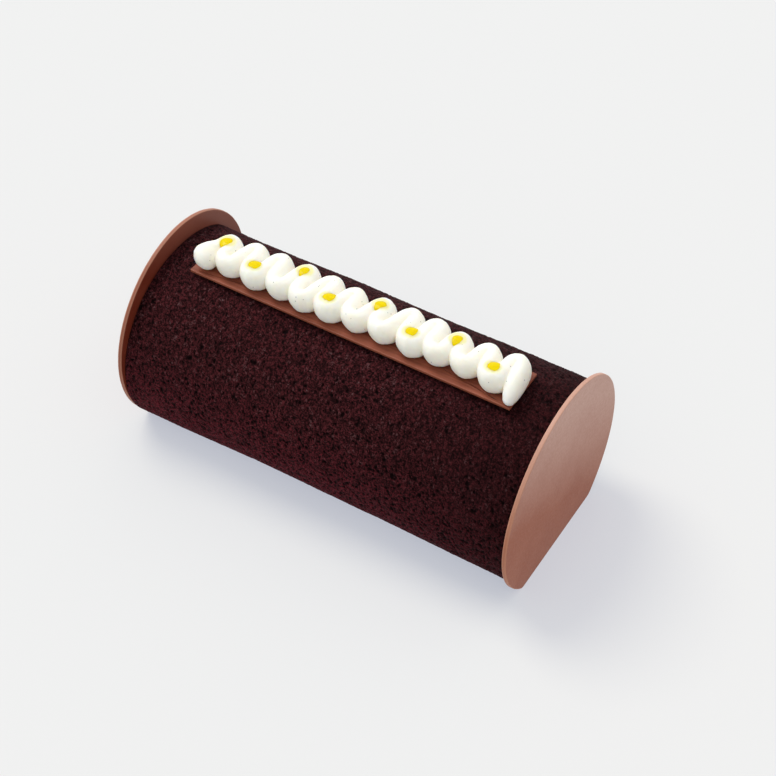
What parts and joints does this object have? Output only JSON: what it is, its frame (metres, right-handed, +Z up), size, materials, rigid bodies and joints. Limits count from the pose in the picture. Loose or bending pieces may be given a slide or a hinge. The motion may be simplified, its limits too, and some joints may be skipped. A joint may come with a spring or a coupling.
{
  "type": "yule log",
  "caption": "Smooth chocolate yule log between thin milk chocolate end discs, with a slim plaque on top that carries a zigzag of piped vanilla cream and yellow gel dots",
  "frame": {"origin": "centre of the bounding box at floor level", "axes": "+X along the log from the plain left disc to the right disc seen face on, +Z up, front is -Y"},
  "size_m": [0.1633, 0.0829, 0.0732],
  "materials": {
    "sponge": "matt dark burgundy chocolate crumb with a velvety, finely pored surface",
    "disc_chocolate": "smooth satin milk chocolate, slightly pink",
    "bar_chocolate": "smooth satin milk chocolate with faint lengthwise combing",
    "cream": "soft ivory piped cream with tiny vanilla specks and glossy yellow gel dots"
  },
  "bodies": {
    "root": {"log_body": "sponge", "disc_left": "disc_chocolate", "disc_right": "disc_chocolate", "chocolate_bar": "bar_chocolate", "cream_wave": "cream"}
  },
  "joints": []
}
